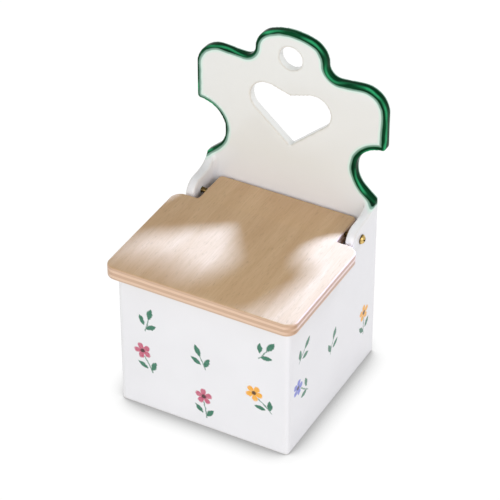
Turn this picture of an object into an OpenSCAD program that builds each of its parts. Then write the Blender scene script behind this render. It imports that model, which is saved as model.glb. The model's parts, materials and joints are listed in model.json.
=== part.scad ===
// Wall-hung ceramic salt box with a notched plywood lid that turns on two brass hinge screws.
// Origin at the middle of the flat underside, +Z up, the front towards -Y, the back plate at +Y.

/* [Box] */
// Width of the box over its side walls
body_w = 120; // [114:1:150]
// Depth of the box from its front wall to the back of the plate
body_d = 120; // [90:1:170]
// Height of the front and side walls that the lid lies on
rim_h = 99; // [50:1:180]
// Thickness of every wall and of the back plate
wall_t = 6.2; // [4.5:0.1:9]
// Thickness of the floor
floor_t = 7; // [4:0.5:14]
// Radius of the outer upright corners at the front
corner_r = 3; // [1:0.5:4]
// Radius of the inner upright corners
inner_r = 4; // [1:0.5:10]

/* [Cheeks] */
// Length of the hinge cheeks in front of the back plate
cheek_len = 28.6; // [26:0.2:34]
// Height of the cheek's shoulder above the rim
cheek_rise = 15.6; // [14:0.2:20]
// Radius of the cheek's rounded shoulder
cheek_r = 10; // [7:0.5:11]
// Slope of the cheek's top edge in degrees
cheek_slope = 5; // [0:1:8]
// Length of the cheek's sloping top edge
cheek_top_len = 7.7; // [5:0.1:9]
// Radius of the sweep from the cheek up to the plate
sweep_r = 15; // [13:0.5:18]

/* [Back plate] */
// How far each shoulder lobe stands out past the side wall
lobe_out = 6.2; // [3:0.2:12]
// Height of the lobe's centre above the rim
lobe_up = 88.6; // [84:0.2:92]
// Radius of the shoulder lobes
lobe_r = 16.5; // [14:0.5:17.5]
// Radius of the lobe's lower corner
lobe_corner_r = 3; // [1.5:0.5:4]
// Radius of the waist cut
waist_r = 18.5; // [16:0.5:19.5]
// How far the waist is drawn in from the side wall
waist_in = 14; // [10:0.5:17]
// Height of the waist's centre above the rim
waist_up = 44; // [41:0.5:47]
// Slope in degrees of the waist's straight run down to the side edge
waist_flare = 42; // [36:1:44]
// Height of the crest's apex above the rim
crest_up = 129; // [127:0.5:134]
// Radius of the crest's top arc
crest_top_r = 41.5; // [34:0.5:60]
// Radius of the crest's shoulders
crest_side_r = 15; // [12:0.5:18]
// Half of the crest's width
crest_half_w = 24.8; // [23:0.2:27]
// Radius of the dip between the crest and a lobe
dip_r = 8.4; // [7:0.2:9]

/* [Heart] */
// Height of the heart's lobe centres above the rim
heart_up = 76.4; // [74:0.2:79]
// Distance of each heart lobe's centre from the middle
heart_lobe_x = 16.4; // [13:0.2:18]
// Radius of the heart's lobes
heart_lobe_r = 11.6; // [9:0.2:13]
// Slope of the heart's upper edges in degrees
heart_top_slope = 17; // [8:1:26]
// Slope of the heart's lower edges in degrees
heart_side_slope = 41; // [35:1:46]

/* [Hanging hole] */
// Radius of the round hole that hangs on a wall hook
hook_r = 8; // [5:0.5:10]
// Distance of the hole's centre below the crest's apex
hook_down = 18.6; // [16:0.2:21]

/* [Lid] */
// Thickness of the plywood lid
lid_t = 9; // [6:0.5:11]
// Overhang of the lid past the front wall
lid_front = 7; // [2:0.5:14]
// Overhang of the lid past each side wall
lid_side = 5.5; // [2:0.5:12]
// Radius of the lid's outer corners
lid_corner_r = 7.5; // [2:0.5:10]
// Radius of the corners at the back of the lid's neck
neck_corner_r = 3; // [1:0.5:5]
// Radius in the inside corners of the notches
notch_r = 2; // [1:0.5:4]

/* [Hinge screws] */
// Distance of the hinge axis in front of the back plate
hinge_y_back = 17.3; // [13:0.1:18]
// Height of the hinge axis above the middle of the lid's thickness
hinge_up = 1.2; // [0:0.1:1.5]
// Diameter of the brass shank
shank_d = 3.5; // [2.5:0.1:4.5]
// Diameter of the round head
head_d = 6.6; // [5.4:0.1:9]
// Height of the round head
head_h = 2.4; // [1.6:0.1:3]
// Length of the screw under its head
screw_len = 25; // [20:1:40]
// Length of the pointed end
tip_len = 4; // [2:0.5:6]
// Width of the cross recess
cross_w = 0.9; // [0.6:0.1:1.3]
// Span of the cross recess
cross_span = 3.6; // [2.4:0.1:4.4]
// Depth of the cross recess
cross_depth = 1.3; // [0.6:0.1:1.5]

/* [Clearances] */
// Gap between the closed lid and the rim
seat_gap = 0.2; // [0.1:0.1:0.5]
// Gap between the lid's neck and each cheek
neck_gap = 4.8; // [2:0.2:6]
// Gap that the notch keeps to the cheek as the lid turns
notch_gap = 0.5; // [0.3:0.1:2]
// Gap that the lid's back edge keeps to the plate as it turns
swing_gap = 0.4; // [0.3:0.1:2]
// Radial clearance of the shank in the cheek
shank_gap = 0.08; // [0.02:0.01:0.1]
// Gap under each screw head
head_gap = 0.3; // [0.1:0.1:0.6]

/* [Hidden] */
$fn = 96;
cut = 1;

side_x = body_w / 2;
back_y = body_d / 2;
inner_x = side_x - wall_t;
plate_y = back_y - wall_t;

hinge_y = plate_y - hinge_y_back;
hinge_z = rim_h + seat_gap + lid_t / 2 + hinge_up;

cheek_y = plate_y - cheek_len;
shoulder_y = cheek_y + cheek_r;
shoulder_z = rim_h + cheek_rise - cheek_r;
slope_y = shoulder_y + cheek_top_len;
slope_z = rim_h + cheek_rise + cheek_top_len * tan(cheek_slope);

// The cheek's farthest point from the hinge axis sets the notch's front edge
cheek_reach = max(
    norm([shoulder_y - hinge_y, shoulder_z - hinge_z]) + cheek_r,
    norm([slope_y - hinge_y, slope_z - hinge_z]),
    norm([cheek_y - hinge_y, rim_h - hinge_z]));
notch_y = hinge_y - cheek_reach - notch_gap;
// The lid's back corners pass the plate at this radius from the hinge axis
swing_r = hinge_y_back - swing_gap;
lid_back_y = hinge_y + sqrt(pow(swing_r, 2) - pow(lid_t / 2 + hinge_up, 2));
neck_x = inner_x - neck_gap;

lobe_x = side_x + lobe_out - lobe_r;
lobe_z = rim_h + lobe_up;
waist_x = side_x - waist_in + waist_r;
waist_z = rim_h + waist_up;
lobe_corner_x = side_x + lobe_out - lobe_corner_r;
lobe_corner_z = waist_z + sqrt(pow(waist_r + lobe_corner_r, 2) - pow(lobe_corner_x - waist_x, 2));
crest_top_z = rim_h + crest_up - crest_top_r;
crest_side_x = crest_half_w - crest_side_r;
crest_side_z = crest_top_z + sqrt(pow(crest_top_r - crest_side_r, 2) - pow(crest_side_x, 2));
dip_x = crest_half_w + dip_r;

heart_z = rim_h + heart_up;
hook_z = rim_h + crest_up - hook_down;

// Point at an angle on a circle
function on_circle(c, r, a) = [c[0] + r * cos(a), c[1] + r * sin(a)];
function mirrored(points) = [for (i = [len(points) - 1:-1:0]) [-points[i][0], points[i][1]]];
function both_sides(points) = concat(points, mirrored(points));

// Rectangle with four rounded corners, between two opposite corners
module rounded_rect(low, high, r) {
    for (x = [low[0] + r, high[0] - r], y = [low[1] + r, high[1] - r])
        translate([x, y]) circle(r);
    translate([low[0] + r, low[1]]) square([high[0] - low[0] - 2 * r, high[1] - low[1]]);
    translate([low[0], low[1] + r]) square([high[0] - low[0], high[1] - low[1] - 2 * r]);
}

// Heart outline: two round lobes and the straight edges that are tangent to them
module heart_outline() {
    centre = [heart_lobe_x, heart_z];
    top = on_circle(centre, heart_lobe_r, 90 + heart_top_slope);
    side = on_circle(centre, heart_lobe_r, heart_side_slope - 90);
    notch = [0, top[1] - top[0] * tan(heart_top_slope)];
    tip = [0, side[1] - side[0] * tan(heart_side_slope)];
    polygon(concat([tip, side, centre, top], [notch], mirrored([side, centre, top])));
    for (s = [-1, 1]) translate([s * heart_lobe_x, heart_z]) circle(heart_lobe_r);
}

// Plate outline below the crest: side edges, waist cuts, lobes and dips
module lobes_outline() {
    dip = [dip_x, crest_side_z];
    lobe = [lobe_x, lobe_z];
    along = atan2(lobe[1] - dip[1], lobe[0] - dip[0]);
    off = acos((dip_r + lobe_r) / norm(lobe - dip));
    dip_touch = on_circle(dip, dip_r, along - off);
    lobe_touch = on_circle(lobe, lobe_r, along - off + 180);
    waist = [waist_x, waist_z];
    waist_touch = on_circle(waist, waist_r, 270 - waist_flare);
    flare_x = max(waist_x, side_x) + cut;
    flare_z = waist_touch[1] - (flare_x - waist_touch[0]) * tan(waist_flare);
    flare = [waist, waist_touch, [flare_x, flare_z], [flare_x, waist_z]];
    difference() {
        union() {
            translate([-side_x, 0]) square([body_w, lobe_z]);
            translate([-lobe_corner_x, waist_z]) square([2 * lobe_corner_x, lobe_z - waist_z]);
            translate([-side_x - lobe_out, lobe_corner_z])
                square([body_w + 2 * lobe_out, lobe_z - lobe_corner_z]);
            for (s = [-1, 1]) {
                translate([s * lobe_corner_x, lobe_corner_z]) circle(lobe_corner_r);
                translate([s * lobe_x, lobe_z]) circle(lobe_r);
            }
            polygon(both_sides([[lobe_x, lobe_z - cut], lobe, lobe_touch, dip_touch, dip]));
        }
        for (s = [-1, 1]) {
            translate([s * waist_x, waist_z]) circle(waist_r);
            translate([s * dip_x, crest_side_z]) circle(dip_r);
        }
        for (side = [flare, mirrored(flare)]) polygon(side);
    }
}

// Crest outline: one wide arc between two tighter shoulders
module crest_outline() {
    reach = 2 * crest_top_r;
    side_a = atan2(crest_side_z - crest_top_z, crest_side_x);
    intersection() {
        translate([0, crest_top_z]) circle(crest_top_r);
        polygon(both_sides([[0, crest_top_z], on_circle([0, crest_top_z], reach, side_a)]));
    }
    for (s = [-1, 1]) translate([s * crest_side_x, crest_side_z]) circle(crest_side_r);
}

// Cheek outline, from the side: rounded shoulder, sloping top and the sweep up to the plate
module cheek_outline() {
    sweep = [slope_y, slope_z] + sweep_r * [-sin(cheek_slope), cos(cheek_slope)];
    sweep_top = sweep[1] - sqrt(pow(sweep_r, 2) - pow(plate_y - sweep[0], 2));
    difference() {
        union() {
            translate([shoulder_y, shoulder_z]) circle(cheek_r);
            translate([cheek_y, rim_h - cut]) square([cheek_len + cut, shoulder_z - rim_h + cut]);
            polygon([
                [shoulder_y, shoulder_z - cut], [plate_y + cut, shoulder_z - cut],
                [plate_y + cut, sweep_top], [plate_y, sweep_top], [slope_y, slope_z],
                on_circle([shoulder_y, shoulder_z], cheek_r, 90 + cheek_slope)]);
        }
        translate(sweep) circle(sweep_r);
    }
}

// Lid outline from above: wide board with a notch on each side of its hinged neck
module lid_outline() {
    wide_x = side_x + lid_side;
    rounded_rect([-wide_x, -back_y - lid_front], [wide_x, notch_y], lid_corner_r);
    rounded_rect([-neck_x, notch_y - 2 * lid_corner_r], [neck_x, lid_back_y], neck_corner_r);
    for (s = [-1, 1]) difference() {
        translate([s * (neck_x + notch_r / 2), notch_y + notch_r / 2])
            square(notch_r, center = true);
        translate([s * (neck_x + notch_r), notch_y + notch_r]) circle(notch_r);
    }
}

// Screw with its axis along X, its head out towards +X and its seat at x = 0
module screw_shank() {
    rotate([0, -90, 0]) rotate_extrude() polygon([
        [0, 0], [shank_d / 2, 0], [shank_d / 2, screw_len - tip_len], [0, screw_len]]);
}

// Round head: the part of a ball above the seat, with a cross recess
module screw_head() {
    ball_r = (pow(head_d / 2, 2) + pow(head_h, 2)) / (2 * head_h);
    difference() {
        rotate([0, 90, 0]) rotate_extrude() intersection() {
            translate([0, head_h - ball_r]) circle(ball_r);
            square([head_d, head_h]);
        }
        for (a = [0, 90]) rotate([a, 0, 0])
            translate([head_h - cross_depth, -cross_span / 2, -cross_w / 2])
                cube([cross_depth + cut, cross_span, cross_w]);
    }
}

// Puts a screw on the hinge axis at one side, seated just off the cheek's outer face
module on_hinge(s) {
    translate([s * (side_x + head_gap), hinge_y, hinge_z]) mirror([s < 0 ? 1 : 0, 0, 0])
        children();
}

// Fired box in one piece: tub, hinge cheeks and back plate
module ceramic_body() {
    color("#ECECEE") difference() {
        union() {
            difference() {
                linear_extrude(rim_h) rounded_rect(
                    [-side_x, -back_y], [side_x, plate_y + wall_t / 2], corner_r);
                translate([0, 0, floor_t]) linear_extrude(rim_h) rounded_rect(
                    [-inner_x, -plate_y], [inner_x, plate_y], inner_r);
            }
            for (x = [-side_x, inner_x]) translate([x, 0, 0])
                rotate([90, 0, 90]) linear_extrude(wall_t) cheek_outline();
            translate([0, back_y, 0]) rotate([90, 0, 0]) linear_extrude(wall_t) {
                lobes_outline();
                crest_outline();
            }
        }
        translate([0, back_y + cut, 0]) rotate([90, 0, 0]) linear_extrude(wall_t + 2 * cut) {
            heart_outline();
            translate([0, hook_z]) circle(hook_r);
        }
        translate([-side_x - cut, hinge_y, hinge_z]) rotate([0, 90, 0])
            cylinder(h = body_w + 2 * cut, r = shank_d / 2 + shank_gap);
    }
}

// Notched plywood board, bored in both edges of its neck for the screws
module lid() {
    color("#C9A577") difference() {
        translate([0, 0, rim_h + seat_gap]) linear_extrude(lid_t) lid_outline();
        for (s = [-1, 1]) on_hinge(s) screw_shank();
    }
}

// Brass round-head screw, driven through the cheek into the lid's edge
module hinge_screw(s) {
    color("#C9A24B") on_hinge(s) {
        screw_shank();
        screw_head();
    }
}

ceramic_body();
lid();
hinge_screw(-1);  // hinge_screw_left
hinge_screw(1);  // hinge_screw_right
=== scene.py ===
import json
import math

import bmesh
import bpy
from mathutils import Matrix, Vector, kdtree


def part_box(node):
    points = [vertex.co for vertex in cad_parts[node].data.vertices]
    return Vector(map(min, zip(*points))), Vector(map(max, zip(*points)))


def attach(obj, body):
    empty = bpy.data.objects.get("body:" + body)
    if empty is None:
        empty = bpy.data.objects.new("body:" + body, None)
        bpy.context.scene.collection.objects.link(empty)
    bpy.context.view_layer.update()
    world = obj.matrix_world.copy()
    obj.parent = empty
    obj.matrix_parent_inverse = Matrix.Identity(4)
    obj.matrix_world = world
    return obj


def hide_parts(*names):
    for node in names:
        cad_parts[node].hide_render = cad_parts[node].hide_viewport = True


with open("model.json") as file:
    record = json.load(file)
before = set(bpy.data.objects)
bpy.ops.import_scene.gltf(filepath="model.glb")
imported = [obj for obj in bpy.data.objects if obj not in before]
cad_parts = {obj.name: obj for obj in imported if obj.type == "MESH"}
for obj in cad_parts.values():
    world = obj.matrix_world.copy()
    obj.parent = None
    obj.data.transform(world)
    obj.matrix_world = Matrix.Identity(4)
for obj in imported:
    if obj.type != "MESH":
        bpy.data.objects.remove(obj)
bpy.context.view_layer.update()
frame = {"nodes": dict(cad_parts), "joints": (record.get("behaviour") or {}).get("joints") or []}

# Box: one piece of white earthenware, with its tub, two hinge cheeks and scalloped back plate.
# It is built from slabs whose edges are wiped round while soft, then fired, painted by hand with
# scattered sprigs and a green line round the plate, and dipped in a clear glossy glaze.
MM = 0.001
CLAY_GRID = 0.9 * MM
WIPED_PASSES = 6
WALL = 6.2 * MM
PLATE_BACK = 60 * MM
PLATE_FRONT = PLATE_BACK - WALL
WAIST_FOOT = 121.6 * MM
BACK_ARRIS, BACK_SOFTNESS = 1.5 * MM, 0.45
BORE_R = 1.83 * MM
LINE_STEP = 0.25 * MM
LINE_ABOVE, LINE_BEHIND, FAR_FROM_LINE = 90 * MM, 30 * MM, 99.0
THIN_BELOW = 112 * MM
TRIANGLES = 130000
hinge_y, hinge_z = frame["joints"][0]["pos_m"][1:]


def merged_copy(node):
    """A bmesh copy of a CAD node, with its loose triangles joined and its flat faces whole."""
    bm = bmesh.new()
    bm.from_mesh(frame["nodes"][node].data)
    bmesh.ops.remove_doubles(bm, verts=bm.verts, dist=1e-6)
    return bm


def new_piece(name, bm):
    """Makes an object from a bmesh."""
    mesh = bpy.data.meshes.new(name)
    bm.to_mesh(mesh)
    bm.free()
    piece = bpy.data.objects.new(name, mesh)
    bpy.context.scene.collection.objects.link(piece)
    return piece


def make_plain(piece):
    """Turns the piece's modifiers into plain mesh."""
    bpy.context.view_layer.update()
    graph = bpy.context.evaluated_depsgraph_get()
    mesh = bpy.data.meshes.new_from_object(piece.evaluated_get(graph))
    piece.modifiers.clear()
    piece.data = mesh


clay = merged_copy("ceramic_body")

# The painter's line follows the plate's outline, taken from the edge of its back face
outline = {}
for edge in clay.edges:
    low = min(v.co.z for v in edge.verts)
    if min(v.co.y for v in edge.verts) > PLATE_BACK - 0.01 * MM and low > WAIST_FOOT:
        if edge.calc_face_angle() > 1:
            for v in edge.verts:
                outline.setdefault(v, []).append(edge.other_vert(v))
corner = min(outline, key=lambda v: (v.co.x > 0, v.co.z))
path, seen = [], set()
while corner:
    seen.add(corner)
    path.append(Vector((corner.co.x, 0, corner.co.z)))
    corner = next((v for v in outline[corner] if v not in seen), None)
line = []
for a, b in zip(path, path[1:]):
    steps = max(1, round((b - a).length / LINE_STEP))
    line += [a.lerp(b, i / steps) for i in range(steps)]
line.append(path[-1])
line_run = [0.0]
for a, b in zip(line, line[1:]):
    line_run.append(line_run[-1] + (b - a).length)
line_tree = kdtree.KDTree(len(line))
for i, p in enumerate(line):
    line_tree.insert(p, i)
line_tree.balance()

# The two screw holes are closed before the edges are wiped round, and drilled again after
bore = [f for f in clay.faces
        if all(math.hypot(v.co.y - hinge_y, v.co.z - hinge_z) < BORE_R * 1.02 for v in f.verts)]
bmesh.ops.delete(clay, geom=bore, context="FACES")
bmesh.ops.holes_fill(clay, edges=[e for e in clay.edges if e.is_boundary])
bmesh.ops.triangulate(clay, faces=clay.faces)
box = new_piece("glazed_box", clay)
grid = box.modifiers.new("clay", "REMESH")
grid.mode, grid.voxel_size = "VOXEL", CLAY_GRID
make_plain(box)
sharp = [v.co.copy() for v in box.data.vertices]
# The slabs lay on their backs while wiped, so the back arris of the plate stays crisper
soft = box.vertex_groups.new(name="soft")
for v in box.data.vertices:
    at_back = v.co.y > PLATE_BACK - BACK_ARRIS and v.co.z > WAIST_FOOT
    soft.add([v.index], BACK_SOFTNESS if at_back else 1.0, "REPLACE")
wiped = box.modifiers.new("wiped", "SMOOTH")
wiped.factor, wiped.iterations, wiped.vertex_group = 0.5, WIPED_PASSES, "soft"
make_plain(box)

# Glaze runs thin over each edge and gathers in each hollow, and the plate's edges take a painted
# shade: all follow how far wiping moved the surface
pooled_and_edge_shade = [(v.co - was).dot(v.normal) / MM for v, was in zip(box.data.vertices, sharp)]
# Each spot of the plate knows how far it lies from the painter's line, and how far along it
from_line, along_line = [], []
for v in box.data.vertices:
    if v.co.z > LINE_ABOVE and v.co.y > LINE_BEHIND:
        _, nearest, distance = line_tree.find((v.co.x, 0, v.co.z))
        from_line.append(distance / MM)
        along_line.append(line_run[nearest] / MM)
    else:
        from_line.append(FAR_FROM_LINE)
        along_line.append(0.0)
for name, values in (("glaze_pool_and_edge_shade", pooled_and_edge_shade), ("line_depth", from_line), ("line_run", along_line)):
    box.data.attributes.new(name, "FLOAT", "POINT").data.foreach_set("value", values)

# Only the plate keeps its fine grid, as the flat walls of the tub need none
keep = box.vertex_groups.new(name="plate")
keep.add([v.index for v in box.data.vertices if v.co.z > THIN_BELOW], 1.0, "REPLACE")
thin = box.modifiers.new("thin", "DECIMATE")
thin.ratio = TRIANGLES / (2 * len(box.data.polygons))
thin.vertex_group, thin.invert_vertex_group = "plate", True
make_plain(box)

drill = bmesh.new()
on_axis = Matrix.Translation((0, hinge_y, hinge_z)) @ Matrix.Rotation(math.pi / 2, 4, "Y")
bmesh.ops.create_cone(drill, cap_ends=True, segments=48, radius1=BORE_R, radius2=BORE_R,
                      depth=160 * MM, matrix=on_axis)
drill = new_piece("drill", drill)
cut = box.modifiers.new("drill", "BOOLEAN")
cut.object, cut.solver = drill, "EXACT"
make_plain(box)
bpy.data.objects.remove(drill)
for face in box.data.polygons:
    face.use_smooth = True
box.data.set_sharp_from_angle(angle=math.radians(35))


def linear(code):
    """Turns an sRGB hex colour into the linear RGBA that a shader reads."""
    parts = [int(code[i:i + 2], 16) / 255 for i in (1, 3, 5)]
    return [c / 12.92 if c <= 0.04045 else ((c + 0.055) / 1.055) ** 2.4 for c in parts] + [1]


def add(tree, kind, inputs=(), **settings):
    """Adds a node, sets its properties and fills its sockets in order or by name."""
    node = tree.nodes.new(kind)
    for key, value in settings.items():
        setattr(node, key, value)
    shown = [s for s in node.inputs if s.enabled]
    pairs = inputs.items() if isinstance(inputs, dict) else zip(shown, inputs)
    for key, value in pairs:
        socket = node.inputs[key] if isinstance(key, (str, int)) else key
        if isinstance(value, bpy.types.Node):
            value = next(s for s in value.outputs if s.enabled)
        if isinstance(value, bpy.types.NodeSocket):
            tree.links.new(value, socket)
        elif value is not None:
            socket.default_value = value
    return node


def new_material(name):
    """Makes an empty material and gives it with its node tree."""
    material = bpy.data.materials.new(name)
    material.use_nodes = True
    material.node_tree.nodes.clear()
    return material, material.node_tree


# Clear glaze over a white body: glossy, a little grey where it gathers, and warmer and darker where
# it is thin over the arrises.
# On the arrises of the plate, round the heart and the holes, that tone is made stronger to serve as
# painted shade. Over the plate the body is tinted a shade warmer than on the tub.
glaze, t = new_material("glazed_earthenware")
place = add(t, "ShaderNodeTexCoord")
place_m = place.outputs["Object"]
mm = add(t, "ShaderNodeVectorMath", [place_m, (1000, 1000, 1000)], operation="MULTIPLY")
at = add(t, "ShaderNodeSeparateXYZ", [mm])
facing = add(t, "ShaderNodeSeparateXYZ", [place.outputs["Normal"]])
cloud = add(t, "ShaderNodeTexNoise", {"Vector": mm, "Scale": 0.03, "Detail": 2.0})
body = add(t, "ShaderNodeMix", [cloud, linear("#EDEDEF"), linear("#E6E6E8")], data_type="RGBA")
on_plate = add(t, "ShaderNodeMapRange", [at.outputs["Z"], 105.0, 135.0, 0.0, 1.0])
body = add(t, "ShaderNodeMix", [on_plate, body, linear("#E6E7E3")], data_type="RGBA")
pool_and_edge_shade = add(t, "ShaderNodeAttribute", attribute_name="glaze_pool_and_edge_shade")
# Where the glaze runs thin over an arris it turns warmer and darker. On the plate this is made
# stronger, as painted shade on the rounded edges of the heart and holes.
thin = add(t, "ShaderNodeMapRange", [pool_and_edge_shade.outputs["Fac"], -0.03, -0.3, 0.0, 0.25])
thin_and_shade_on_plate = add(t, "ShaderNodeMath", [on_plate, 2.8, 1.0], operation="MULTIPLY_ADD")
thin = add(t, "ShaderNodeMath", [thin, thin_and_shade_on_plate], operation="MULTIPLY")
body = add(t, "ShaderNodeMix", [thin, body, linear("#C9C1B1")], data_type="RGBA")
deep = add(t, "ShaderNodeMapRange", [pool_and_edge_shade.outputs["Fac"], 0.1, 0.8, 0.0, 0.5])
body = add(t, "ShaderNodeMix", [deep, body, linear("#CFD6D6")], data_type="RGBA")

# Sprigs: each outer wall is shared out in staggered cells, and each cell holds one painted sprig,
# moved and turned at random. On the side walls the sheet of cells runs along Y. Sizes in mm: the
# cell, how far a sprig is moved and turned (radians) in it, and how far out its middle may lie.
CELL_W, CELL_H = 42.0, 39.0
SPRIG = 1.25
SPREAD_X, SPREAD_Z, SPREAD_TURN = 8.0, 11.0, 2.2
FARTHEST, LOWEST, HIGHEST = 47.0, 16.0, 79.0
OUTER_FACE, PAINT_TOP = 59.0, 94.0
SPRIG_DRAW = 8.0
side = add(t, "ShaderNodeMath", [facing.outputs["X"]], operation="ROUND")
front = add(t, "ShaderNodeMath", [facing.outputs["Y"]], operation="ROUND")
run_y = add(t, "ShaderNodeMath", [at.outputs["Y"], side], operation="MULTIPLY")
run_x = add(t, "ShaderNodeMath", [at.outputs["X"], front, run_y], operation="MULTIPLY_ADD")
wall_id = add(t, "ShaderNodeMath", [side, 3.0, front], operation="MULTIPLY_ADD")
across = add(t, "ShaderNodeMath", [run_x, 1 / CELL_W, 0.5], operation="MULTIPLY_ADD")
column = add(t, "ShaderNodeMath", [across], operation="FLOOR")
odd = add(t, "ShaderNodeMath", [column, 2.0], operation="FLOORED_MODULO")
stagger = add(t, "ShaderNodeMath", [odd, 0.5, 0.05], operation="MULTIPLY_ADD")
upward = add(t, "ShaderNodeMath", [at.outputs["Z"], 1 / CELL_H, stagger], operation="MULTIPLY_ADD")
row = add(t, "ShaderNodeMath", [upward], operation="FLOOR")
cell = add(t, "ShaderNodeCombineXYZ", [column, row, wall_id])
chance = add(t, "ShaderNodeTexWhiteNoise", [cell, SPRIG_DRAW], noise_dimensions="4D")
chance = chance.outputs["Color"]
spread = (SPREAD_X, SPREAD_Z, SPREAD_TURN)
shift = add(t, "ShaderNodeVectorMath", [chance, (0.5, 0.5, 0.5)], operation="SUBTRACT")
shift = add(t, "ShaderNodeVectorMath", [shift, spread], operation="MULTIPLY")
moved = add(t, "ShaderNodeSeparateXYZ", [shift])
in_x = add(t, "ShaderNodeMath", [across, column], operation="SUBTRACT")
in_x = add(t, "ShaderNodeMath", [in_x, CELL_W, -CELL_W / 2], operation="MULTIPLY_ADD")
in_x = add(t, "ShaderNodeMath", [in_x, moved.outputs["X"]], operation="SUBTRACT")
in_z = add(t, "ShaderNodeMath", [upward, row], operation="SUBTRACT")
in_z = add(t, "ShaderNodeMath", [in_z, CELL_H, -CELL_H / 2], operation="MULTIPLY_ADD")
in_z = add(t, "ShaderNodeMath", [in_z, moved.outputs["Y"]], operation="SUBTRACT")
flat_place = add(t, "ShaderNodeCombineXYZ", [in_x, in_z])
turned = add(t, "ShaderNodeVectorRotate", {"Vector": flat_place, "Angle": moved.outputs["Z"]},
             rotation_type="Z_AXIS")
to_drawing = (1 / SPRIG, 1 / SPRIG, 1 / SPRIG)
turned = add(t, "ShaderNodeVectorMath", [turned, to_drawing], operation="MULTIPLY")
# The brush isn't steady, so every outline wavers by a few tenths of a millimetre
waver = add(t, "ShaderNodeTexNoise", {"Vector": mm, "Scale": 0.55, "Detail": 2.0})
waver = waver.outputs["Color"]
waver = add(t, "ShaderNodeVectorMath", [waver, (0.5, 0.5, 0.5)], operation="SUBTRACT")
sprig = add(t, "ShaderNodeVectorMath", [waver, (1.3, 1.3, 0.0), turned], operation="MULTIPLY_ADD")

# A sprig is left out where it would run over an edge of its wall
centre_x = add(t, "ShaderNodeMath", [run_x, in_x], operation="SUBTRACT")
centre_x = add(t, "ShaderNodeMath", [centre_x], operation="ABSOLUTE")
inside = add(t, "ShaderNodeMath", [centre_x, FARTHEST], operation="LESS_THAN")
centre_z = add(t, "ShaderNodeMath", [at.outputs["Z"], in_z], operation="SUBTRACT")
above = add(t, "ShaderNodeMath", [centre_z, LOWEST], operation="GREATER_THAN")
below = add(t, "ShaderNodeMath", [centre_z, HIGHEST], operation="LESS_THAN")
outer_x = add(t, "ShaderNodeMath", [at.outputs["X"]], operation="ABSOLUTE")
outer_y = add(t, "ShaderNodeMath", [at.outputs["Y"], -1.0], operation="MULTIPLY")
outer = add(t, "ShaderNodeMath", [outer_x, outer_y], operation="MAXIMUM")
outer = add(t, "ShaderNodeMath", [outer, OUTER_FACE], operation="GREATER_THAN")
low = add(t, "ShaderNodeMath", [at.outputs["Z"], PAINT_TOP], operation="LESS_THAN")
painted = outer
for limit in (inside, above, below, low):
    painted = add(t, "ShaderNodeMath", [painted, limit], operation="MULTIPLY")

# One dab of the brush: a pointed leaf, given its middle, turn, half length and half width
dab = bpy.data.node_groups.new("leaf_dab", "ShaderNodeTree")
for name in ("Place", "Middle"):
    dab.interface.new_socket(name, in_out="INPUT", socket_type="NodeSocketVector")
for name in ("Turn", "Length", "Width"):
    dab.interface.new_socket(name, in_out="INPUT", socket_type="NodeSocketFloat")
dab.interface.new_socket("Mark", in_out="OUTPUT", socket_type="NodeSocketFloat")
given = add(dab, "NodeGroupInput").outputs
local = add(dab, "ShaderNodeVectorMath", [given["Place"], given["Middle"]], operation="SUBTRACT")
local = add(dab, "ShaderNodeVectorRotate", {"Vector": local, "Angle": given["Turn"]},
            rotation_type="Z_AXIS")
local = add(dab, "ShaderNodeSeparateXYZ", [local])
wide = add(dab, "ShaderNodeMath", [local.outputs["X"], given["Width"]], operation="DIVIDE")
wide = add(dab, "ShaderNodeMath", [wide], operation="ABSOLUTE")
tall = add(dab, "ShaderNodeMath", [local.outputs["Y"], given["Length"]], operation="DIVIDE")
tall = add(dab, "ShaderNodeMath", [tall, 2.0], operation="POWER")
reach = add(dab, "ShaderNodeMath", [wide, tall], operation="ADD")
mark = add(dab, "ShaderNodeMapRange", [reach, 1.15, 0.8, 0.0, 1.0])
add(dab, "NodeGroupOutput", [mark])

kind = add(t, "ShaderNodeMath", [column, row], operation="ADD")
kind = add(t, "ShaderNodeMath", [kind, 2.0], operation="FLOORED_MODULO")
has_bloom = add(t, "ShaderNodeMath", [kind, 0.5], operation="LESS_THAN")
has_bud = add(t, "ShaderNodeMath", [1.0, has_bloom], operation="SUBTRACT")
leaves = None
for middle, turn, length, width, share in (
        ((-2.9, -4.9, 0), -0.75, 3.4, 1.5, None), ((3.1, -3.3, 0), 0.7, 3.3, 1.4, None),
        ((0.2, 2.6, 0), 0.08, 3.8, 1.6, has_bud)):
    leaf = add(t, "ShaderNodeGroup", {}, node_tree=dab)
    t.links.new(sprig.outputs[0], leaf.inputs["Place"])
    leaf.inputs["Middle"].default_value = middle
    leaf.inputs["Turn"].default_value = turn
    leaf.inputs["Length"].default_value = length
    leaf.inputs["Width"].default_value = width
    if share:
        leaf = add(t, "ShaderNodeMath", [leaf, share], operation="MULTIPLY")
    leaves = add(t, "ShaderNodeMath", [leaves, leaf], operation="MAXIMUM") if leaves else leaf
on_sprig = add(t, "ShaderNodeSeparateXYZ", [sprig])
bend = add(t, "ShaderNodeMath", [on_sprig.outputs["Y"], 0.22], operation="MULTIPLY")
bend = add(t, "ShaderNodeMath", [bend], operation="SINE")
off_stem = add(t, "ShaderNodeMath", [bend, -0.7, on_sprig.outputs["X"]], operation="MULTIPLY_ADD")
off_stem = add(t, "ShaderNodeMath", [off_stem], operation="ABSOLUTE")
stem = add(t, "ShaderNodeMapRange", [off_stem, 0.5, 0.2, 0.0, 0.8])
stem_mid = add(t, "ShaderNodeMath", [on_sprig.outputs["Y"], 3.6], operation="ADD")
stem_mid = add(t, "ShaderNodeMath", [stem_mid], operation="ABSOLUTE")
stem_end = add(t, "ShaderNodeMapRange", [stem_mid, 5.6, 4.8, 0.0, 1.0])
stem = add(t, "ShaderNodeMath", [stem, stem_end], operation="MULTIPLY")
leaves = add(t, "ShaderNodeMath", [leaves, stem], operation="MAXIMUM")

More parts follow.
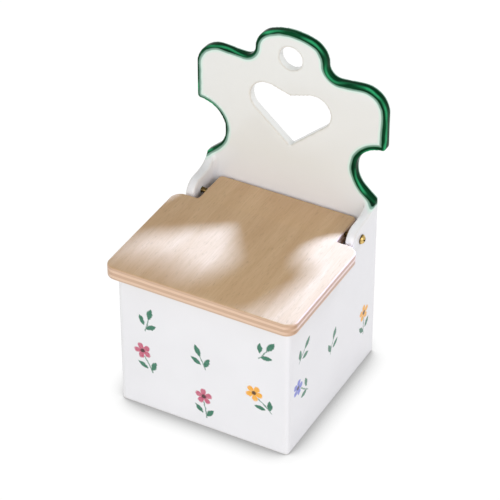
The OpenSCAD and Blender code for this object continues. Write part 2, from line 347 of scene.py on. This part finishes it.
# A blossom has five round petals about a dark eye, at the head of its stem
bloom = add(t, "ShaderNodeVectorMath", [sprig, (0.0, 4.9, 0.0)], operation="SUBTRACT")
bloom_r = add(t, "ShaderNodeVectorMath", [bloom], operation="LENGTH")
bloom_x, bloom_y, _ = add(t, "ShaderNodeSeparateXYZ", [bloom]).outputs
petal = add(t, "ShaderNodeMath", [bloom_x, bloom_y], operation="ARCTAN2")
petal = add(t, "ShaderNodeMath", [petal, 2.5], operation="MULTIPLY")
petal = add(t, "ShaderNodeMath", [petal], operation="COSINE")
petal = add(t, "ShaderNodeMath", [petal], operation="ABSOLUTE")
petal = add(t, "ShaderNodeMath", [petal, 0.3], operation="POWER")
petal = add(t, "ShaderNodeMath", [petal, -4.9, bloom_r.outputs["Value"]], operation="MULTIPLY_ADD")
petals = add(t, "ShaderNodeMapRange", [petal, 0.3, -0.5, 0.0, 1.0])
petals = add(t, "ShaderNodeMath", [petals, has_bloom], operation="MULTIPLY")
eye = add(t, "ShaderNodeMapRange", [bloom_r.outputs["Value"], 1.5, 1.0, 0.0, 0.9])
eye = add(t, "ShaderNodeMath", [eye, has_bloom], operation="MULTIPLY")
turn_of = add(t, "ShaderNodeMath", [row, 2.0, column], operation="MULTIPLY_ADD")
turn_of = add(t, "ShaderNodeMath", [turn_of, wall_id], operation="ADD")
turn_of = add(t, "ShaderNodeMath", [turn_of, 3.0], operation="FLOORED_MODULO")
turn_of = add(t, "ShaderNodeMath", [turn_of, 0.33, 0.1], operation="MULTIPLY_ADD")
tint = add(t, "ShaderNodeValToRGB", [turn_of])
tint.color_ramp.interpolation = "CONSTANT"
tint.color_ramp.elements[0].color = linear("#F2A800")
tint.color_ramp.elements[1].position = 0.38
tint.color_ramp.elements[1].color = linear("#6F7ACF")
tint.color_ramp.elements.new(0.7).color = linear("#C04C6E")
wash = add(t, "ShaderNodeTexNoise", {"Vector": mm, "Scale": 0.5, "Detail": 3.0})
wash = add(t, "ShaderNodeMapRange", [wash, 0.35, 0.68, 0.0, 0.15])
petal_colour = add(t, "ShaderNodeMix", [wash, tint, linear("#F3EFE9")], data_type="RGBA")
leaf_colour = add(t, "ShaderNodeMix", [wash, linear("#2A6E54"), linear("#86C4A8")],
                  data_type="RGBA")
for mark, colour in ((leaves, leaf_colour), (petals, petal_colour), (eye, linear("#2A1512"))):
    mark = add(t, "ShaderNodeMath", [mark, painted], operation="MULTIPLY")
    body = add(t, "ShaderNodeMix", [mark, body, colour], data_type="RGBA")

# Green line: brushed along the plate's rim and over its front arris, 2 to 3 mm onto the front face.
# It is near black where it lies thick, with a light streak along its rounded front arris that is
# partly where the bristles dragged and partly a painted highlight of the glaze.
# At its edges it is thin and grey and bleeds into the glaze. The brush pressed harder on the right.
# In mm, with the brush's waver added: where the full colour ends, and where the bleeding ends.
FULL_W, BLED_W = 3.3, 6.3
line_depth = add(t, "ShaderNodeAttribute", attribute_name="line_depth").outputs["Fac"]
line_run = add(t, "ShaderNodeAttribute", attribute_name="line_run").outputs["Fac"]
from_front = add(t, "ShaderNodeMath", [at.outputs["Y"], PLATE_FRONT / MM], operation="SUBTRACT")
along_rim = add(t, "ShaderNodeCombineXYZ", [line_run, from_front, line_depth])
unsteady = add(t, "ShaderNodeVectorMath", [along_rim, (0.07, 0.15, 0.1)], operation="MULTIPLY")
unsteady = add(t, "ShaderNodeTexNoise", {"Vector": unsteady, "Scale": 1.0, "Detail": 2.0})
press = add(t, "ShaderNodeMath", [at.outputs["X"], -0.009, line_depth], operation="MULTIPLY_ADD")
reach = add(t, "ShaderNodeMath", [unsteady, 1.8, press], operation="MULTIPLY_ADD")
behind = add(t, "ShaderNodeMath", [unsteady, 1.2, from_front], operation="MULTIPLY_ADD")
behind = add(t, "ShaderNodeMath", [behind, 1.8, -6.1], operation="MULTIPLY_ADD")
reach = add(t, "ShaderNodeMath", [reach, behind], operation="MAXIMUM")
streak = add(t, "ShaderNodeVectorMath", [along_rim, (0.05, 0.9, 0.7)], operation="MULTIPLY")
streak = add(t, "ShaderNodeTexNoise", {"Vector": streak, "Scale": 1.0, "Detail": 3.0})
streak = add(t, "ShaderNodeMapRange", [streak, 0.42, 0.66, 0.0, 0.6])
green = add(t, "ShaderNodeMix", [streak, linear("#022614"), linear("#07552D")], data_type="RGBA")
drag = add(t, "ShaderNodeVectorMath", [along_rim, (0.05, 0.0, 0.0)], operation="MULTIPLY")
drag = add(t, "ShaderNodeTexNoise", {"Vector": drag, "Scale": 1.0, "Detail": 1.0})
drag = add(t, "ShaderNodeSeparateXYZ", [drag.outputs["Color"]])
# The light streak keeps to the rounded front arris, where it stands partly for a painted highlight,
# and it wanders and breaks where the bristles dragged
bristle_and_highlight = add(t, "ShaderNodeMath", [from_front, line_depth], operation="SUBTRACT")
bristle_and_highlight = add(t, "ShaderNodeMath", [drag.outputs["X"], -7.0, bristle_and_highlight], operation="MULTIPLY_ADD")
bristle_and_highlight = add(t, "ShaderNodeMath", [bristle_and_highlight, 3.3], operation="ADD")
bristle_and_highlight = add(t, "ShaderNodeMath", [bristle_and_highlight], operation="ABSOLUTE")
bristle_and_highlight = add(t, "ShaderNodeMath", [unsteady, 1.8, bristle_and_highlight], operation="MULTIPLY_ADD")
bristle_and_highlight = add(t, "ShaderNodeMapRange", [bristle_and_highlight, 2.5, 0.9, 0.0, 1.0])
drag = add(t, "ShaderNodeMapRange", [drag.outputs["Y"], 0.42, 0.58, 0.1, 0.9])
bristle_and_highlight = add(t, "ShaderNodeMath", [bristle_and_highlight, drag], operation="MULTIPLY")
green = add(t, "ShaderNodeMix", [bristle_and_highlight, green, linear("#36B074")], data_type="RGBA")
edge_tone = add(t, "ShaderNodeMapRange", [reach, 3.0, 6.0, 0.0, 1.0])
edge_tone = add(t, "ShaderNodeValToRGB", [edge_tone])
edge_tone.color_ramp.elements[0].color = linear("#4B8468")
edge_tone.color_ramp.elements[1].position = 0.4
edge_tone.color_ramp.elements[1].color = linear("#8FB0A2")
edge_tone.color_ramp.elements.new(0.55).color = linear("#D5EBE0")
solid = add(t, "ShaderNodeMapRange", [reach, FULL_W, FULL_W - 0.5, 0.0, 1.0])
green = add(t, "ShaderNodeMix", [solid, edge_tone, green], data_type="RGBA")
shows = add(t, "ShaderNodeMapRange", [reach, BLED_W, BLED_W - 1.5, 0.0, 1.0])
body = add(t, "ShaderNodeMix", [shows, body, green], data_type="RGBA")

# The foot is wiped clean of glaze before firing, so the underside stays bare and matt. The glaze
# ripples gently over some 15 mm, and lies less glossy over the green.
bare = add(t, "ShaderNodeMapRange", [at.outputs["Z"], 0.5, 0.2, 0.0, 1.0])
body = add(t, "ShaderNodeMix", [bare, body, linear("#D9CFBF")], data_type="RGBA")
rough = add(t, "ShaderNodeMapRange", [bare, 0.0, 1.0, 0.1, 0.8])
ripple = add(t, "ShaderNodeTexNoise", {"Vector": mm, "Scale": 0.07, "Detail": 1.0})
relief = add(t, "ShaderNodeBump", {"Strength": 0.5, "Distance": 0.3 * MM, "Height": ripple})
shine = add(t, "ShaderNodeMapRange", [solid, 0.0, 1.0, 0.5, 0.04])
shader = add(t, "ShaderNodeBsdfPrincipled", {
    "Base Color": body, "Roughness": rough, "IOR": 1.5, "Specular IOR Level": shine,
    "Normal": relief})
add(t, "ShaderNodeOutputMaterial", [shader])
box.data.materials.append(glaze)
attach(box, "box")
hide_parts("ceramic_body")

# Lid: a 9 mm board of beech plywood, five plies thick, sawn to shape with a notch round each hinge
# cheek. Its arrises are eased with sandpaper and it is rubbed with a satin oil.
EASED = 1.2 * MM
PLY_MIDDLE, PLY_HALF = 1.95, 1.05
lid_low, lid_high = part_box("lid")

board = merged_copy("lid")
bmesh.ops.dissolve_limit(board, angle_limit=math.radians(1), verts=board.verts, edges=board.edges)
arris = [e for e in board.edges if len(e.link_faces) == 2
         and {round(abs(f.normal.z)) for f in e.link_faces} == {0, 1}]
bmesh.ops.bevel(board, geom=arris, offset=EASED, segments=4, profile=0.5, affect="EDGES")
bmesh.ops.triangulate(board, faces=[f for f in board.faces if len(f.verts) > 4])
lid = new_piece("plywood_lid", board)
for face in lid.data.polygons:
    face.use_smooth = True
lid.data.set_sharp_from_angle(angle=math.radians(30))

# Oiled beech plywood: a tan satin face with fine dark flecks along the grain, and plies at the edge
# that turn from pale long grain to brown end grain, with thin dark glue lines between them
plywood, t = new_material("oiled_beech_plywood")
place = add(t, "ShaderNodeTexCoord")
place_m = place.outputs["Object"]
mm = add(t, "ShaderNodeVectorMath", [place_m, (1000, 1000, 1000)], operation="MULTIPLY")
facing = add(t, "ShaderNodeVectorMath", [place.outputs["Normal"]], operation="ABSOLUTE")
facing = add(t, "ShaderNodeSeparateXYZ", [facing])
on_face = add(t, "ShaderNodeMapRange", [facing.outputs["Z"], 0.55, 0.85, 0.0, 1.0])

# The face and the middle ply run front to back, the two plies between them from side to side: how
# far in mm these two lie from the board's middle, and half their thickness, are given above
sway = add(t, "ShaderNodeTexNoise", {"Vector": mm, "Scale": 0.12, "Detail": 2.0})
ply_at = add(t, "ShaderNodeSeparateXYZ", [mm])
ply_at = add(t, "ShaderNodeMath", [sway, 0.5, ply_at.outputs["Z"]], operation="MULTIPLY_ADD")
middle = (lid_low.z + lid_high.z) / 2 / MM + 0.25
ply_at = add(t, "ShaderNodeMath", [ply_at, middle], operation="SUBTRACT")
ply_at = add(t, "ShaderNodeMath", [ply_at], operation="ABSOLUTE")
ply_at = add(t, "ShaderNodeMath", [ply_at, PLY_MIDDLE], operation="SUBTRACT")
ply_at = add(t, "ShaderNodeMath", [ply_at], operation="ABSOLUTE")
crossed = add(t, "ShaderNodeMapRange", [ply_at, PLY_HALF + 0.1, PLY_HALF - 0.1, 0.0, 1.0])
glue = add(t, "ShaderNodeMath", [ply_at, PLY_HALF], operation="SUBTRACT")
glue = add(t, "ShaderNodeMath", [glue], operation="ABSOLUTE")
glue = add(t, "ShaderNodeMapRange", [glue, 0.3, 0.05, 0.0, 0.55])

grain = []
for stretch in ((1.0, 0.055, 1.0), (0.055, 1.0, 1.0)):
    fibre = add(t, "ShaderNodeVectorMath", [mm, stretch], operation="MULTIPLY")
    grain.append(add(t, "ShaderNodeTexNoise",
                     {"Vector": fibre, "Scale": 1.1, "Detail": 4.0, "Roughness": 0.6}))
fibre = add(t, "ShaderNodeMix", [crossed, grain[0], grain[1]], data_type="FLOAT")
end_on = add(t, "ShaderNodeMix", [crossed, facing.outputs["Y"], facing.outputs["X"]],
             data_type="FLOAT")
end_on = add(t, "ShaderNodeMath", [end_on, 2.0], operation="POWER")
end_tone = add(t, "ShaderNodeMath", [facing.outputs["X"], 0.6, 0.35], operation="MULTIPLY_ADD")
end_on = add(t, "ShaderNodeMath", [end_on, end_tone], operation="MULTIPLY")
edge = add(t, "ShaderNodeMix", [end_on, linear("#E3C5AC"), linear("#BA927A")], data_type="RGBA")
glue = add(t, "ShaderNodeMath", [glue, end_on], operation="MAXIMUM")
edge = add(t, "ShaderNodeMix", [glue, edge, linear("#AD8666")], data_type="RGBA")
fibre_tone = add(t, "ShaderNodeMapRange", [fibre, 0.3, 0.7, 0.0, 0.4])
edge = add(t, "ShaderNodeMix", [fibre_tone, edge, linear("#D3AC88")], data_type="RGBA")

# The face: growth bands 8 to 15 mm apart, fine fibre, and ray flecks 0.4 mm by 3 mm, drawn about
# twice their real width so that they show
bands = add(t, "ShaderNodeVectorMath", [mm, (0.10, 0.008, 0.1)], operation="MULTIPLY")
bands = add(t, "ShaderNodeTexNoise",
            {"Vector": bands, "Scale": 1.0, "Detail": 3.0, "Distortion": 0.6})
bands = add(t, "ShaderNodeMapRange", [bands, 0.3, 0.7, 0.0, 1.0])
face = add(t, "ShaderNodeMix", [bands, linear("#D3B287"), linear("#C5A074")], data_type="RGBA")
fine = add(t, "ShaderNodeMapRange", [grain[0], 0.35, 0.75, 0.0, 0.45])
face = add(t, "ShaderNodeMix", [fine, face, linear("#B59063")], data_type="RGBA")
fleck = add(t, "ShaderNodeVectorMath", [mm, (1.5, 0.2, 1.5)], operation="MULTIPLY")
fleck = add(t, "ShaderNodeTexNoise", {"Vector": fleck, "Scale": 1.0, "Detail": 1.0})
fleck = add(t, "ShaderNodeMapRange", [fleck, 0.62, 0.72, 0.0, 0.3])
face = add(t, "ShaderNodeMix", [fleck, face, linear("#94714E")], data_type="RGBA")
wood = add(t, "ShaderNodeMix", [on_face, edge, face], data_type="RGBA")
rough = add(t, "ShaderNodeMapRange", [grain[0], 0.3, 0.7, 0.42, 0.55])
relief = add(t, "ShaderNodeBump", {"Strength": 0.25, "Distance": 0.1 * MM, "Height": fibre})
shader = add(t, "ShaderNodeBsdfPrincipled", {
    "Base Color": wood, "Roughness": rough, "Normal": relief,
    "Coat Weight": 0.5, "Coat Roughness": 0.6, "Coat IOR": 1.5})
add(t, "ShaderNodeOutputMaterial", [shader])
lid.data.materials.append(plywood)
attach(lid, "lid")
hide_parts("lid")

# Hinge screws: two brass round-head wood screws with a cross recess, 3.5 mm thick. Each is driven
# through a plain hole in its cheek into the edge of the lid, which turns on the pair.
HEAD_R = 3.3 * MM
HEAD_H = 2.4 * MM
SHANK_R = 1.75 * MM
SCREW_LEN = 25 * MM
TIP_LEN = 4 * MM
RECESS_W = 0.9 * MM
RECESS_SPAN = 3.6 * MM
RECESS_DEPTH = 1.3 * MM
seat_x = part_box("hinge_screw_right")[1][0] - HEAD_H

# A half section, from the middle of the head to the point, turned about the screw's own axis
ball_r = (HEAD_R ** 2 + HEAD_H ** 2) / (2 * HEAD_H)
edge_turn = math.asin(HEAD_R / ball_r)
section = [(HEAD_H - ball_r + ball_r * math.cos(a), ball_r * math.sin(a))
           for a in (edge_turn * i / 16 for i in range(17))]
section += [(0, HEAD_R - 0.15 * MM), (0, SHANK_R), (TIP_LEN - SCREW_LEN, SHANK_R), (-SCREW_LEN, 0)]
screw = bmesh.new()
ring = [screw.verts.new((x, r, 0)) for x, r in section]
edges = [screw.edges.new(pair) for pair in zip(ring, ring[1:])]
bmesh.ops.spin(screw, geom=ring + edges, cent=(0, 0, 0), axis=(1, 0, 0), angle=math.tau, steps=48)
bmesh.ops.remove_doubles(screw, verts=screw.verts, dist=1e-6)
bmesh.ops.recalc_face_normals(screw, faces=screw.faces)
screw = new_piece("hinge_screws", screw)

# The recess is two crossed slots that narrow towards their bottom
recess = bmesh.new()
for turn in (0, 90):
    bmesh.ops.create_cube(recess, size=1, matrix=Matrix.Rotation(math.radians(turn), 4, "X")
                          @ Matrix.Translation((HEAD_H, 0, 0))
                          @ Matrix.Diagonal((2 * RECESS_DEPTH, RECESS_SPAN, RECESS_W, 1)))
recess = new_piece("recess", recess)
cut = screw.modifiers.new("recess", "BOOLEAN")
cut.object, cut.solver, cut.use_self = recess, "EXACT", True
make_plain(screw)
bpy.data.objects.remove(recess)
for face in screw.data.polygons:
    face.use_smooth = True
screw.data.set_sharp_from_angle(angle=math.radians(35))

# The material follows each screw's own turning, so its places are kept before the pair is set out
own = screw.data.attributes.new("on_screw", "FLOAT_VECTOR", "POINT")
own.data.foreach_set("vector", [c / MM for v in screw.data.vertices for c in v.co])

# Turned brass: warm yellow metal with fine rings from the lathe, and a painted shade, dark brown,
# in its recess, towards the rim of its head, under the head and along the shank
brass, t = new_material("turned_brass")
own = add(t, "ShaderNodeAttribute", attribute_name="on_screw").outputs["Vector"]
on_screw = add(t, "ShaderNodeSeparateXYZ", [own])
radial = add(t, "ShaderNodeCombineXYZ", [0.0, on_screw.outputs["Y"], on_screw.outputs["Z"]])
radial = add(t, "ShaderNodeVectorMath", [radial], operation="LENGTH").outputs["Value"]
# Below the curve of the dome, in the recess, towards the rim, under the head and along the shank,
# the brass takes a painted shade
dome = add(t, "ShaderNodeMath", [radial, 2.0], operation="POWER")
dome = add(t, "ShaderNodeMath", [dome, -1 / (2 * ball_r / MM), HEAD_H / MM - 0.2],
           operation="MULTIPLY_ADD")
sunk_shade = add(t, "ShaderNodeMath", [dome, on_screw.outputs["X"]], operation="SUBTRACT")
sunk_shade = add(t, "ShaderNodeMapRange", [sunk_shade, 0.0, 0.5, 0.0, 0.85])
dull = add(t, "ShaderNodeTexNoise", {"Vector": own, "Scale": 0.9, "Detail": 3.0})
dull_tone = add(t, "ShaderNodeMapRange", [dull, 0.4, 0.7, 0.0, 0.35])
metal = add(t, "ShaderNodeMix", [dull_tone, linear("#E5C57C"), linear("#A8813F")], data_type="RGBA")
metal = add(t, "ShaderNodeMix", [sunk_shade, metal, linear("#4A3518")], data_type="RGBA")
rough = add(t, "ShaderNodeMapRange", [dull, 0.3, 0.7, 0.2, 0.36])
rings = add(t, "ShaderNodeMath", [radial, 28.0], operation="MULTIPLY")
rings = add(t, "ShaderNodeMath", [rings], operation="SINE")
relief = add(t, "ShaderNodeBump", {"Strength": 0.3, "Distance": 0.01 * MM, "Height": rings})
shader = add(t, "ShaderNodeBsdfPrincipled", {
    "Base Color": metal, "Metallic": 1.0, "Roughness": rough, "Normal": relief})
add(t, "ShaderNodeOutputMaterial", [shader])

# One screw stands at each end of the hinge axis, head outwards, turned as far as it happened to go
pair = bpy.data.node_groups.new("screw_pair", "GeometryNodeTree")
pair.interface.new_socket("Geometry", in_out="INPUT", socket_type="NodeSocketGeometry")
for name in ("Seat X", "Hinge Y", "Hinge Z"):
    pair.interface.new_socket(name, in_out="INPUT", socket_type="NodeSocketFloat")
pair.interface.new_socket("Brass", in_out="INPUT", socket_type="NodeSocketMaterial")
pair.interface.new_socket("Geometry", in_out="OUTPUT", socket_type="NodeSocketGeometry")
given = add(pair, "NodeGroupInput").outputs
right_seat = [given["Seat X"], given["Hinge Y"], given["Hinge Z"]]
right_seat = add(pair, "ShaderNodeCombineXYZ", right_seat)
across = add(pair, "ShaderNodeMath", [given["Seat X"], -2.0], operation="MULTIPLY")
step = add(pair, "ShaderNodeCombineXYZ", [across])
seats = add(pair, "GeometryNodeMeshLine",
            {"Count": 2, "Start Location": right_seat, "Offset": step})
index = add(pair, "GeometryNodeInputIndex")
about = add(pair, "ShaderNodeMath", [index, math.pi], operation="MULTIPLY")
stop = add(pair, "FunctionNodeRandomValue", data_type="FLOAT")
next(s for s in stop.inputs if s.enabled and s.name == "Max").default_value = math.pi / 2
stop.inputs["Seed"].default_value = 4
turn = add(pair, "ShaderNodeCombineXYZ", [stop, 0.0, about])
rotation = add(pair, "FunctionNodeEulerToRotation", [turn])
placed = add(pair, "GeometryNodeInstanceOnPoints",
             {"Points": seats, "Instance": given["Geometry"], "Rotation": rotation})
real = add(pair, "GeometryNodeRealizeInstances", [placed])
finished = add(pair, "GeometryNodeSetMaterial", {"Geometry": real, "Material": given["Brass"]})
add(pair, "NodeGroupOutput", [finished])
sockets = {s.name: s.identifier for s in pair.interface.items_tree if s.in_out == "INPUT"}
both = screw.modifiers.new("pair", "NODES")
both.node_group = pair
both[sockets["Seat X"]] = seat_x
both[sockets["Hinge Y"]] = hinge_y
both[sockets["Hinge Z"]] = hinge_z
both[sockets["Brass"]] = brass
make_plain(screw)
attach(screw, "lid")
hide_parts("hinge_screw_left", "hinge_screw_right")

# Studio: a plain white floor in a pale room, a wide soft window in front and another to the right,
# and a lamp behind the plate that shines through the heart and past the waist onto the lid.
WHITE = 1.03
CONTACT_SHADE = 26 * MM
floor = bmesh.new()
bmesh.ops.create_grid(floor, x_segments=8, y_segments=8, size=6)
floor = new_piece("floor", floor)
# White paper: seen, it is plain white and keeps only the soft shade round the box's foot. To the
# light it is an ordinary matt white floor.
paper, t = new_material("white_paper")
ray = add(t, "ShaderNodeLightPath").outputs
sees = [ray["Is Camera Ray"], ray["Is Glossy Ray"]]
sees = add(t, "ShaderNodeMath", sees, operation="MAXIMUM")
sees = add(t, "ShaderNodeMath", [sees, ray["Is Transmission Ray"]], operation="MAXIMUM")
open_sky = add(t, "ShaderNodeAmbientOcclusion", {"Distance": CONTACT_SHADE}, samples=32)
shade = add(t, "ShaderNodeMapRange", [open_sky.outputs["AO"], 1.0, 0.5, 0.0, 1.0])
shade = add(t, "ShaderNodeMath", [shade, 2.5], operation="POWER")
white = add(t, "ShaderNodeMath", [shade, -0.6, WHITE], operation="MULTIPLY_ADD")
seen = add(t, "ShaderNodeEmission", {"Color": (1, 1, 1, 1), "Strength": white})
matt = add(t, "ShaderNodeBsdfDiffuse", {"Color": linear("#F6F6F6")})
shader = add(t, "ShaderNodeMixShader", [sees, matt, seen])
add(t, "ShaderNodeOutputMaterial", [shader])
floor.data.materials.append(paper)

# The room is brighter low down, where its walls are, than overhead
room = bpy.data.worlds.new("room")
bpy.context.scene.world = room
room.use_nodes = True
t = room.node_tree
t.nodes.clear()
ray = add(t, "ShaderNodeLightPath").outputs
sees = [ray["Is Camera Ray"], ray["Is Transmission Ray"]]
sees = add(t, "ShaderNodeMath", sees, operation="MAXIMUM")
way = add(t, "ShaderNodeTexCoord")
way = add(t, "ShaderNodeSeparateXYZ", [way.outputs["Object"]])
high = add(t, "ShaderNodeMapRange", [way.outputs["Z"], 0.35, 0.75, 0.72, 0.42])
strength = add(t, "ShaderNodeMix", [sees, high, WHITE], data_type="FLOAT")
shader = add(t, "ShaderNodeBackground", {"Color": (1, 1, 1, 1), "Strength": strength})
add(t, "ShaderNodeOutputWorld", [shader])

for name, place, watts, colour in (("window", (0.1, -1.7, 0.9), 12.5, (1.0, 1.0, 1.0)),
                                   ("side_window", (1.5, -0.5, 1.0), 8.3, (1.0, 0.96, 1.02))):
    lamp = bpy.data.objects.new(name, bpy.data.lights.new(name, "AREA"))
    lamp.data.shape, lamp.data.size, lamp.data.size_y = "RECTANGLE", 1.4, 1.0
    lamp.data.energy, lamp.data.color = watts, colour
    lamp.location = place
    lamp.rotation_euler = (Vector(place) - Vector((0, 0, 0.1))).to_track_quat("Z", "Y").to_euler()
    bpy.context.scene.collection.objects.link(lamp)

# The lamp behind is two in one place: a weak one for the box and a stronger, bluer one for the
# lid, which turns the oiled wood cream. Neither lights the floor or fades across the lid.
for name, pieces, watts, colour in (("lamp_behind", (box, screw), 9, (0.97, 1.0, 1.06)),
                                    ("lamp_on_lid", (lid,), 158, (0.275, 0.45, 1.0))):
    lamp = bpy.data.objects.new(name, bpy.data.lights.new(name, "POINT"))
    lamp.data.energy, lamp.data.color = watts, colour
    lamp.data.shadow_soft_size = 0.06
    lamp.location = (0.172, 0.567, 0.548)
    lamp.visible_glossy = False
    lamp.data.use_nodes = True
    t = lamp.data.node_tree
    t.nodes.clear()
    even = add(t, "ShaderNodeLightFalloff", {"Strength": 1 / lamp.location.length_squared})
    even = even.outputs["Constant"]
    beam = add(t, "ShaderNodeEmission", {"Color": (1, 1, 1, 1), "Strength": even})
    add(t, "ShaderNodeOutputLight", [beam])
    lit = bpy.data.collections.new(name)
    for piece in pieces:
        lit.objects.link(piece)
    lamp.light_linking.receiver_collection = lit
    bpy.context.scene.collection.objects.link(lamp)

# The camera looks down from the front right, with a long lens
yaw, pitch = math.radians(28.39), math.radians(36.48)
away, aside, above = 1.5809, 0.00079, 0.07975
right = Vector((math.cos(yaw), math.sin(yaw), 0))
back = Vector((math.sin(yaw) * math.cos(pitch), -math.cos(yaw) * math.cos(pitch), math.sin(pitch)))
up = back.cross(right)
camera = bpy.data.objects.new("camera", bpy.data.cameras.new("camera"))
bpy.context.scene.collection.objects.link(camera)
camera.data.lens, camera.data.sensor_width = 175.8, 36
camera.matrix_world = (Matrix.Translation(away * back + aside * right + above * up)
                       @ Matrix((right, up, back)).transposed().to_4x4())
bpy.context.scene.camera = camera
bpy.context.scene.view_settings.view_transform = "Standard"
